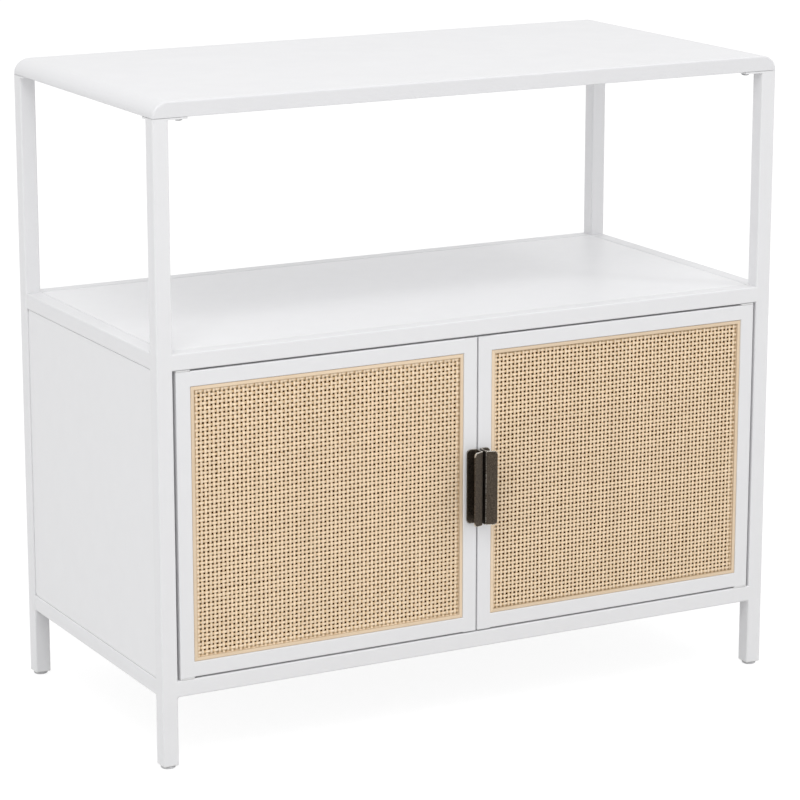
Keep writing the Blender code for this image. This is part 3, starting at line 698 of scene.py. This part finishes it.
def strands(low, high, side_name, along, seed):
    """Mesh of all strands of one direction: along is 2 for the upright ones, 0 for the level ones."""
    across = 2 - along
    bases = [(a + b) / 2 for a, b in pairwise(hole_places(low, high, side_name, across))]
    crossings = [(a + b) / 2 for a, b in pairwise(hole_places(low, high, side_name, along))]
    middle_y = (low.y + high.y - CLOTH_THICK) / 2
    middle = (low[along] + high[along]) / 2
    half_width = STRAND_HALF[side_name]
    facing, lean = (-1, LEAN[side_name]) if along == 2 else (1, 0.0)
    verts, faces, fibre, crests = [], [], [], []
    for strand, base in enumerate(bases):
        if not low[across] + half_width < base < high[across] - half_width:
            continue
        first_lift = facing * WAVE * (1 if strand % 2 == 0 else -1)
        stations = weave_line(low[along], high[along], crossings, first_lift)
        first = len(verts)
        for place, lift in stations:
            drift = uneven(place, strand, seed, DRIFT_SWINGS)
            width = half_width * (1 + uneven(place, strand, seed, WIDTH_SWINGS))
            for u, v in STRAND_SECTION:
                point = [0.0, middle_y + lift + v * STRAND_HALF_THICK, 0.0]
                point[along] = place
                point[across] = base + WANDER * drift + u * width + lean * (place - middle)
                verts.append(point)
                fibre.append((place, u * width, strand + seed * 100.0))
                # Crest is 1 on the front floats, 0 where the strand dives, and less at cut edges: dust and
                # painted shade.
                crests.append((0.5 - 0.5 * lift / WAVE) * (CUT_EDGE_SHADE_SHARE if abs(u) == 1.0 else 1.0))
        faces += skin_faces(first, len(STRAND_SECTION), len(stations) - 1)
    return fibre_mesh("strands", verts, faces, fibre, crests)


def shade_cloth_material(name, colour):
    """Thin plain-woven cloth with a thread of 0.4 mm, slightly uneven in tone, dark as painted shade."""
    material, tree, shader = new_material(name, colour, 0.9)
    shader.inputs["Specular IOR Level"].default_value = 0.1
    place = add(tree, "TexCoord").outputs["Object"]
    tone = tinted(tree, cloud(tree, place, 60.0, 4.0), colour, 0.75, 1.25)
    tree.links.new(tone, shader.inputs["Base Color"])
    warp, weft = [add(tree, "TexWave", {"bands_direction": way}, Vector=place, Scale=780.0).outputs["Fac"]
                  for way in "XZ"]
    woven = calculated(tree, "MAXIMUM", warp, weft)
    tree.links.new(bump(tree, woven, 0.00008, 0.7), shader.inputs["Normal"])
    return material


def cloth_sheet(low, high, columns=24, rows=22):
    """Mesh of a thin sheet with a fine grid, very slightly slack between its edges."""
    built = bmesh.new()
    sides = []
    for y, sign in ((low.y, 1), (high.y, -1)):
        grid = []
        for j in range(rows + 1):
            for i in range(columns + 1):
                slack = math.sin(math.pi * i / columns) * math.sin(math.pi * j / rows)
                ripple = CLOTH_SLACK * slack * (1 + noise.noise(Vector((i * 0.3, j * 0.3, 5.0))))
                grid.append(built.verts.new((low.x + (high.x - low.x) * i / columns, y + sign * ripple,
                                             low.z + (high.z - low.z) * j / rows)))
        sides.append(grid)
    stride = columns + 1
    for grid in sides:
        for j in range(rows):
            for i in range(columns):
                corner = j * stride + i
                built.faces.new([grid[corner + step] for step in (0, 1, stride + 1, stride)])
    rim = [*range(columns), *range(columns, rows * stride + columns, stride),
           *range(rows * stride + columns, rows * stride, -1), *range(rows * stride, 0, -stride)]
    for index, place in enumerate(rim):
        after = rim[(index + 1) % len(rim)]
        built.faces.new((sides[0][place], sides[0][after], sides[1][after], sides[1][place]))
    return meshed(built, "cloth")


CANE = cane_material("woven_cane", CANE_COLOUR, CANE_DUST_AND_SHADE, 0.42)
SHADE_CLOTH = shade_cloth_material("painted_shade_cloth", SHADE_CLOTH_COLOUR)
for number, side_name in enumerate(SIDES):
    door, panel = f"{side_name}_door", f"{side_name}_cane_panel"
    low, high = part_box(panel)
    for along, label in ((2, "upright"), (0, "level")):
        woven = strands(low, high, side_name, along, 3.1 + number + along)
        make_piece(f"{side_name}_cane_{label}_strands", woven, CANE, door, [panel], angle=70.0)
    inset = STRETCHER_WIDTH - CLOTH_OVERLAP
    start = Vector((low.x + inset, high.y - CLOTH_THICK, low.z + inset))
    end = Vector((high.x - inset, high.y, high.z - inset))
    # Dark cloth behind the cane: painted shade standing in for the cupboard's dark inside.
    cloth = make_piece(f"{side_name}_cane_painted_shade_cloth", cloth_sheet(start, end), SHADE_CLOTH, door,
                       [panel])

# ---- Cane border and stretcher
# A flat rattan strip is glued over the cut ends of the cane, mitred at the corners. The sheet is
# stretched over a light wooden frame behind it, which is pressed into the door's opening.
BORDER_WIDTH = 0.0044
STRETCHER_ARRIS = 0.0009
STRIP_COLOUR = (0.818, 0.655, 0.478)
# Colour the strip's edges go to: painted shade where the strip meets the frame and the cane.
PAINTED_EDGE_SHADE = (0.540, 0.390, 0.240)
STRETCHER_COLOUR = (0.640, 0.480, 0.300)


def border_section(front_y, back_y):
    """Section of the strip as (distance from its outer edge, y, crest value), with eased edges.
    The low crest values at both edges are painted shade where the strip meets the frame and the cane.
    """
    outer = [(0.0, back_y, 0.3), (0.0, front_y + 0.0004, 0.7), (0.0004, front_y, 1.0)]
    inner = [(0.0009, front_y, 1.0), (0.0004, front_y + 0.0002, 0.25), (0.0, front_y + 0.0005, 0.0),
             (0.0, back_y, 0.0)]
    return outer + [(BORDER_WIDTH - inset, y, crest) for inset, y, crest in inner]


def mitred_ring(low, high, section, seed):
    """Mesh of four bars of one section, mitred at their corners."""
    verts, faces, fibre, crests = [], [], [], []
    centre = (low + high) / 2
    for bar in range(4):
        along, across = (0, 2) if bar % 2 == 0 else (2, 0)
        sign = -1 if bar < 2 else 1
        half_along, half_across = (high[along] - low[along]) / 2, (high[across] - low[across]) / 2
        first = len(verts)
        for end in (-1, 1):
            for inset, y, crest in section:
                point = [0.0, y, 0.0]
                point[along] = centre[along] + end * (half_along - inset)
                point[across] = centre[across] + sign * (half_across - inset)
                verts.append(point)
                fibre.append((point[along], inset + y, seed + bar))
                crests.append(crest)
        faces += skin_faces(first, len(section), 1)
    return fibre_mesh("ring", verts, faces, fibre, crests)


CANE_STRIP = cane_material("cane_strip", STRIP_COLOUR, PAINTED_EDGE_SHADE, 0.46, 0.6)
STRETCHER_WOOD = cane_material("stretcher_wood", STRETCHER_COLOUR, PAINTED_EDGE_SHADE, 0.62, 1.4)
for number, side_name in enumerate(SIDES):
    low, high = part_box(f"{side_name}_cane_spline")
    border = mitred_ring(low, high, border_section(low.y, high.y), 11.0 + 7 * number)
    make_piece(f"{side_name}_cane_border", border, CANE_STRIP, f"{side_name}_door",
               [f"{side_name}_cane_spline"], angle=50.0)
    low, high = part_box(f"{side_name}_cane_stretcher")
    bar = [(u, v, 1.0) for u, v in rounded_box((0.0, low.y), (STRETCHER_WIDTH, high.y), STRETCHER_ARRIS, 3)]
    make_piece(f"{side_name}_stretcher", mitred_ring(low, high, bar, 31.0 + 7 * number), STRETCHER_WOOD,
               f"{side_name}_door", [f"{side_name}_cane_stretcher"], angle=50.0)

# ---- Handles
# Each handle is one strip of 2 mm brass, bent twice: a flange on the stile, a web that stands
# out beside the doors' meeting line, and a lip that flares back over the flange. The brass is
# patinated to a dark bronze and worn bright along its edges.
WEB_INSET = 0.0007
HANDLE_SHEET = 0.0020
HANDLE_BEND = 0.0030
BEND_STEPS = 12
HANDLE_CORNER = 0.0042
HANDLE_FLARE = math.radians(20.0)
HANDLE_EDGE = 0.00045
LEAST_EDGE = 0.00004
END_STATIONS = [0.0, LEAST_EDGE, 0.00013, 0.00027, HANDLE_EDGE, 0.0009, 0.0014, 0.0021, 0.0031,
                HANDLE_CORNER]
HANDLE_HEAD = 0.0022
WEAR_REACH = 0.0009
LIP_START = 0.002
LIP_WEAR = 1.05
FLANGE_WEAR = 0.75
FREE_EDGE_WEAR = 0.52
BEND_WEAR = 0.85
PATINA_DARK = (0.026, 0.022, 0.018)
PATINA_BROWN = (0.114, 0.090, 0.067)
BARE_METAL = (0.84, 0.80, 0.73)


def aged_bronze(name):
    """Dark patina, cloudy and finely pitted, with bare metal where the mesh's wear value is high."""
    material, tree, shader = new_material(name, PATINA_DARK, 0.5, 0.9)
    place = add(tree, "TexCoord").outputs["Object"]
    wear = add(tree, "Attribute", {"attribute_name": "wear"}).outputs["Fac"]
    scratches = spread(tree, cloud(tree, place, 900.0, 4.0, 0.6), 0.35, 1.0, 0.35, 0.6)
    bare = spread(tree, calculated(tree, "MULTIPLY", wear, scratches), 0.0, 1.0, 0.45, 0.85)
    speckle = spread(tree, cloud(tree, place, 800.0, 4.0, 0.7), 0.0, 1.0, 0.34, 0.66)
    patina = blend_colour(tree, speckle, PATINA_DARK, PATINA_BROWN)
    dull = spread(tree, cloud(tree, place, 480.0, 4.0), 0.40, 0.58)
    sheen = calculated(tree, "SUBTRACT", dull, spread(tree, bare, 0.0, 0.12, 0.0, 1.0))
    pits = bump(tree, cloud(tree, place, 1500.0, 3.0, 0.6), 0.00005, 0.5)
    vary(tree, shader, blend_colour(tree, bare, patina, BARE_METAL), sheen, pits)
    return material


def bent_line(near, far, back, front):
    """Middle line of the sheet from the flange's edge to the lip's, in places across and forward."""
    half = HANDLE_SHEET / 2
    away = 1 if far > near else -1
    web = near + away * half
    length = abs(far - web)
    waist = front - half / math.cos(HANDLE_FLARE) - length * math.tan(HANDLE_FLARE)
    turns = [Vector((far, back + half)), Vector((web, back + half)), Vector((web, waist)),
             Vector((far, waist + length * math.tan(HANDLE_FLARE)))]
    line = [turns[0]]
    for before, corner, after in zip(turns, turns[1:], turns[2:]):
        arriving, leaving = (corner - before).normalized(), (after - corner).normalized()
        trim = HANDLE_BEND * math.tan(arriving.angle(leaving) / 2)
        start, end = corner - arriving * trim, corner + leaving * trim
        for step in range(BEND_STEPS + 1):
            share = step / BEND_STEPS
            line.append(corner + (1 - share) ** 2 * (start - corner) + share ** 2 * (end - corner))
    return line + [turns[3]]


def rubbed_edge(station, total, bend):
    """Wear of the sheet's upper and lower edges at one place along it, and of its faces there.

    Fingers polish the lip's ends most, and leave flecks on its bend and on both free edges.
    """
    onto_lip = min(max((station - bend) / LIP_START + 1.0, 0.0), 1.0)
    free = FREE_EDGE_WEAR * (1.0 - min(min(station, total - station) / WEAR_REACH, 1.0))
    bent = BEND_WEAR * (1.0 - min(abs(station - bend) / WEAR_REACH, 1.0))
    return FLANGE_WEAR + (LIP_WEAR - FLANGE_WEAR) * onto_lip, max(free, bent)


def quarter_rise(distance, radius):
    """Height of a quarter circle at a distance from its foot, and its full height beyond it."""
    return math.sqrt(max(radius ** 2 - (radius - min(distance, radius)) ** 2, 0.0))


def sheet_section(half_u, half_v, radius, end_wear):
    """Section across the sheet as (u, v, wear), eased at its corners, where the ends are worn.

    Its two faces have points a little way in from their ends, where that wear stops.
    """
    inner = half_v - radius - WEAR_REACH
    outline = []
    for u_sign, v_sign, first in ((1, 1, 0), (-1, 1, 90), (-1, -1, 180), (1, -1, 270)):
        centre = (u_sign * (half_u - radius), v_sign * (half_v - radius))
        outline += [(*co, end_wear) for co in arc(centre, radius, first, first + 90, 3)]
        if u_sign * v_sign < 0:
            outline += [(u_sign * half_u, v, 0.0) for v in (v_sign * inner, 0.0, -v_sign * inner)]
    return outline


def bent_sheet(line, low_z, high_z):
    """Mesh of a sheet along a line, with rounded corners and eased edges, and its wear values."""
    lengths = [0.0]
    for before, after in pairwise(line):
        lengths.append(lengths[-1] + (after - before).length)
    total = lengths[-1]
    lip_bend = lengths[1 + BEND_STEPS + 1 + BEND_STEPS // 2]
    stations = sorted(END_STATIONS + [total - value for value in END_STATIONS]
                      + [value for value in lengths if HANDLE_CORNER < value < total - HANDLE_CORNER])
    middle_z, half_z = (low_z + high_z) / 2, (high_z - low_z) / 2
    built = bmesh.new()
    wear_layer = built.verts.layers.float.new("wear")
    rings = []
    for station in stations:
        index = max(i for i, value in enumerate(lengths[:-1]) if value <= station + 1e-9)
        share = (station - lengths[index]) / (lengths[index + 1] - lengths[index])
        point = line[index].lerp(line[index + 1], share)
        along = (line[index + 1] - line[index]).normalized()
        # On a point of the line the sheet runs halfway between the two legs that meet there.
        if share < 0.01 and index > 0:
            along = (along + (line[index] - line[index - 1]).normalized()).normalized()
        across = Vector((-along.y, along.x))
        end = min(station, total - station)
        height = half_z - HANDLE_CORNER + quarter_rise(end, HANDLE_CORNER)
        easing = quarter_rise(end, HANDLE_EDGE)
        shrink = HANDLE_EDGE - easing
        end_wear, face_wear = rubbed_edge(station, total, lip_bend)
        ring = []
        for u, v, wear in sheet_section(HANDLE_SHEET / 2 - shrink, height - shrink,
                                        max(easing, LEAST_EDGE), end_wear):
            place = point + across * u
            vert = built.verts.new((place.x, place.y, middle_z + v))
            vert[wear_layer] = max(wear, face_wear)
            ring.append(vert)
        rings.append(ring)
    join_rings(built, rings)
    # Both ends are closed by a row of quads between the ring's two long sides.
    for ring in (rings[0], rings[-1]):
        for index in range(len(ring) // 2 - 1):
            built.faces.new((ring[3 - index], ring[2 - index], ring[5 + index], ring[4 + index]))
    return meshed(built, "sheet")


BRONZE = aged_bronze("aged_bronze")
for side_name, side in SIDES.items():
    door = f"{side_name}_door"
    low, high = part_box(f"{side_name}_handle")
    near, far = (low.x + WEB_INSET, high.x) if side > 0 else (high.x - WEB_INSET, low.x)
    line = [Vector((p.x, -p.y)) for p in bent_line(near, far, -high.y, -low.y)]
    make_piece(f"{side_name}_handle_bronze", bent_sheet(line, low.z, high.z), BRONZE, door,
               [f"{side_name}_handle"], angle=50.0)
    for level in ("upper", "lower"):
        node = f"{side_name}_handle_screw_{level}"
        low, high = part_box(node)
        base = Vector(((low.x + high.x) / 2, high.y - HANDLE_HEAD, (low.z + high.z) / 2))
        screw = pan_screw(base, (0, -1, 0), (high.x - low.x) / 2, HANDLE_HEAD, base.y - low.y)
        make_piece(f"{node}_pan_head", screw, ZINC, door, [node])

# ---- Door catch
# A white moulded magnetic catch is screwed behind the deck's front rail. Two plated magnets in
# its face, either side of a slot, each hold one door at its meeting stile.
CATCH_EDGE = 0.0012
SLOT_HALF = 0.0012
SLOT_HEIGHT = 0.011
SLOT_BACK = 0.003
SLOT_RUN = 0.01
SLOT_EDGE = 0.0005
MAGNET_HALF = 0.006
MAGNET_HEIGHT = 0.008
MAGNET_DEPTH = 0.004
MAGNET_EDGE = 0.0004


def eased_block(low, high, ease):
    """Mesh of a block with all its edges rounded."""
    built = bmesh.new()
    size, centre = high - low, (low + high) / 2
    bmesh.ops.create_cube(built, size=1.0, matrix=Matrix.Translation(centre) @ Matrix.Diagonal((*size, 1.0)))
    bmesh.ops.bevel(built, geom=built.edges[:], offset=ease, segments=3, profile=0.5, affect="EDGES")
    return meshed(built, "block")


low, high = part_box("door_catch")
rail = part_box("deck_rail_front")[1].y
casing = eased_block(Vector((low.x, rail + SEAM, low.z)), high, CATCH_EDGE)
slot = eased_block(Vector((-SLOT_HALF, rail - SLOT_RUN, low.z - SLOT_RUN)),
                   Vector((SLOT_HALF, high.y - SLOT_BACK, low.z + SLOT_HEIGHT)), SLOT_EDGE)
make_piece("catch_housing", fused("catch", [casing], [slot]), WHITE_PLASTIC, "frame",
           ["door_catch"])
for side_name in SIDES:
    stile_low, stile_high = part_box(f"{side_name}_meeting_stile")
    middle = (stile_low.x + stile_high.x) / 2
    top = stile_high.z - SEAM
    magnet = eased_block(Vector((middle - MAGNET_HALF, low.y, top - MAGNET_HEIGHT)),
                         Vector((middle + MAGNET_HALF, rail + MAGNET_DEPTH, top)), MAGNET_EDGE)
    make_piece(f"catch_magnet_{side_name}", magnet, ZINC, "frame")

# ---- Studio
# A white room with a broad soft lamp high in front and to the left, a low one beside the camera
# and a small high one to the right, and the photograph's camera. The floor is white to the camera
# and keeps the cabinet's shadow.
LOW_LIGHT = 1.155
ZENITH_LIGHT = 0.720
FLOOR_GLOW = 0.87
FLOOR_SHADE = 0.22
FLOOR_COLOUR = (0.62, 0.62, 0.62)
FLOOR_REACH = 14.0
FLOOR_ROWS = 12
CAMERA_PLACE = (-1.7776, -3.3011, 1.2562)
CAMERA_DIP = 13.745
CAMERA_TURN = -28.293
WHITE = (1.0, 1.0, 1.0, 1.0)


def seen_directly(tree):
    """1 for camera, gloss and transmission rays, 0 for light that falls on other surfaces."""
    path = add(tree, "LightPath").outputs
    seen = calculated(tree, "MAXIMUM", path["Is Camera Ray"], path["Is Glossy Ray"])
    return calculated(tree, "MAXIMUM", seen, path["Is Transmission Ray"])


def white_world(horizon, zenith):
    """World that lights the room, a little less from straight above, and shows as plain white."""
    world = bpy.data.worlds.new("studio")
    world.use_nodes = True
    bpy.context.scene.world = world
    tree = world.node_tree
    tree.nodes.clear()
    mix = add(tree, "MixShader", Fac=seen_directly(tree))
    upward = add(tree, "SeparateXYZ", Vector=add(tree, "TexCoord").outputs["Generated"]).outputs["Z"]
    for index, power in ((1, spread(tree, upward, horizon, zenith, 0.0, 1.0)), (2, 1.0)):
        room = add(tree, "Background", Color=WHITE, Strength=power)
        tree.links.new(room.outputs["Background"], mix.inputs[index])
    tree.links.new(mix.outputs["Shader"], add(tree, "OutputWorld").inputs["Surface"])


def soft_lamp(name, place, target, width, power):
    """Square area lamp aimed at a point."""
    lamp = bpy.data.lights.new(name, "AREA")
    lamp.shape, lamp.size, lamp.energy = "SQUARE", width, power
    holder = placed(name, lamp)
    holder.location = place
    holder.rotation_euler = (Vector(target) - Vector(place)).to_track_quat("-Z", "Y").to_euler()


def white_floor(name):
    """Material that lights and reflects as pale grey, and shows as white where no shadow falls."""
    material, tree, shader = new_material(name, FLOOR_COLOUR, 0.85)
    both = add(tree, "AddShader")
    shaded = add(tree, "BsdfDiffuse", Color=(FLOOR_SHADE, FLOOR_SHADE, FLOOR_SHADE, 1.0))
    glow = add(tree, "Emission", Color=WHITE, Strength=FLOOR_GLOW)
    tree.links.new(shaded.outputs["BSDF"], both.inputs[0])
    tree.links.new(glow.outputs["Emission"], both.inputs[1])
    choice = add(tree, "MixShader", Fac=seen_directly(tree))
    tree.links.new(shader.outputs["BSDF"], choice.inputs[1])
    tree.links.new(both.outputs["Shader"], choice.inputs[2])
    tree.links.new(choice.outputs["Shader"], tree.nodes["Material Output"].inputs["Surface"])
    return material


def floor_grid(reach, rows):
    """Mesh of a flat square of equal fields on the ground."""
    places = [-reach + 2 * reach * index / rows for index in range(rows + 1)]
    stride = rows + 1
    corners = [j * stride + i for j in range(rows) for i in range(rows)]
    mesh = bpy.data.meshes.new("floor")
    mesh.from_pydata([(x, y, 0.0) for y in places for x in places], [],
                     [(corner, corner + 1, corner + stride + 1, corner + stride) for corner in corners])
    return mesh


white_world(LOW_LIGHT, ZENITH_LIGHT)
soft_lamp("key_lamp", (-1.23, -1.75, 2.78), (0.0, 0.0, 0.45), 1.4, 22.0)
soft_lamp("front_lamp", (-2.50, -3.40, 1.50), (0.0, 0.0, 0.35), 1.0, 2.5)
soft_lamp("edge_lamp", (1.70, -1.50, 2.80), (0.0, 0.0, 0.45), 0.4, 8.0)

floor = placed("floor", floor_grid(FLOOR_REACH, FLOOR_ROWS))
floor.data.materials.append(white_floor("white_floor"))
floor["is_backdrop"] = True

camera = bpy.data.cameras.new("camera")
camera.sensor_width, camera.lens = 36.0, 145.22
camera.clip_start, camera.clip_end = 0.1, 60.0
viewer = placed("camera", camera)
viewer.location = CAMERA_PLACE
viewer.rotation_euler = (math.radians(90.0 - CAMERA_DIP), 0.0, math.radians(CAMERA_TURN))
bpy.context.scene.camera = viewer
bpy.context.scene.view_settings.view_transform = "Standard"

low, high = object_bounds()
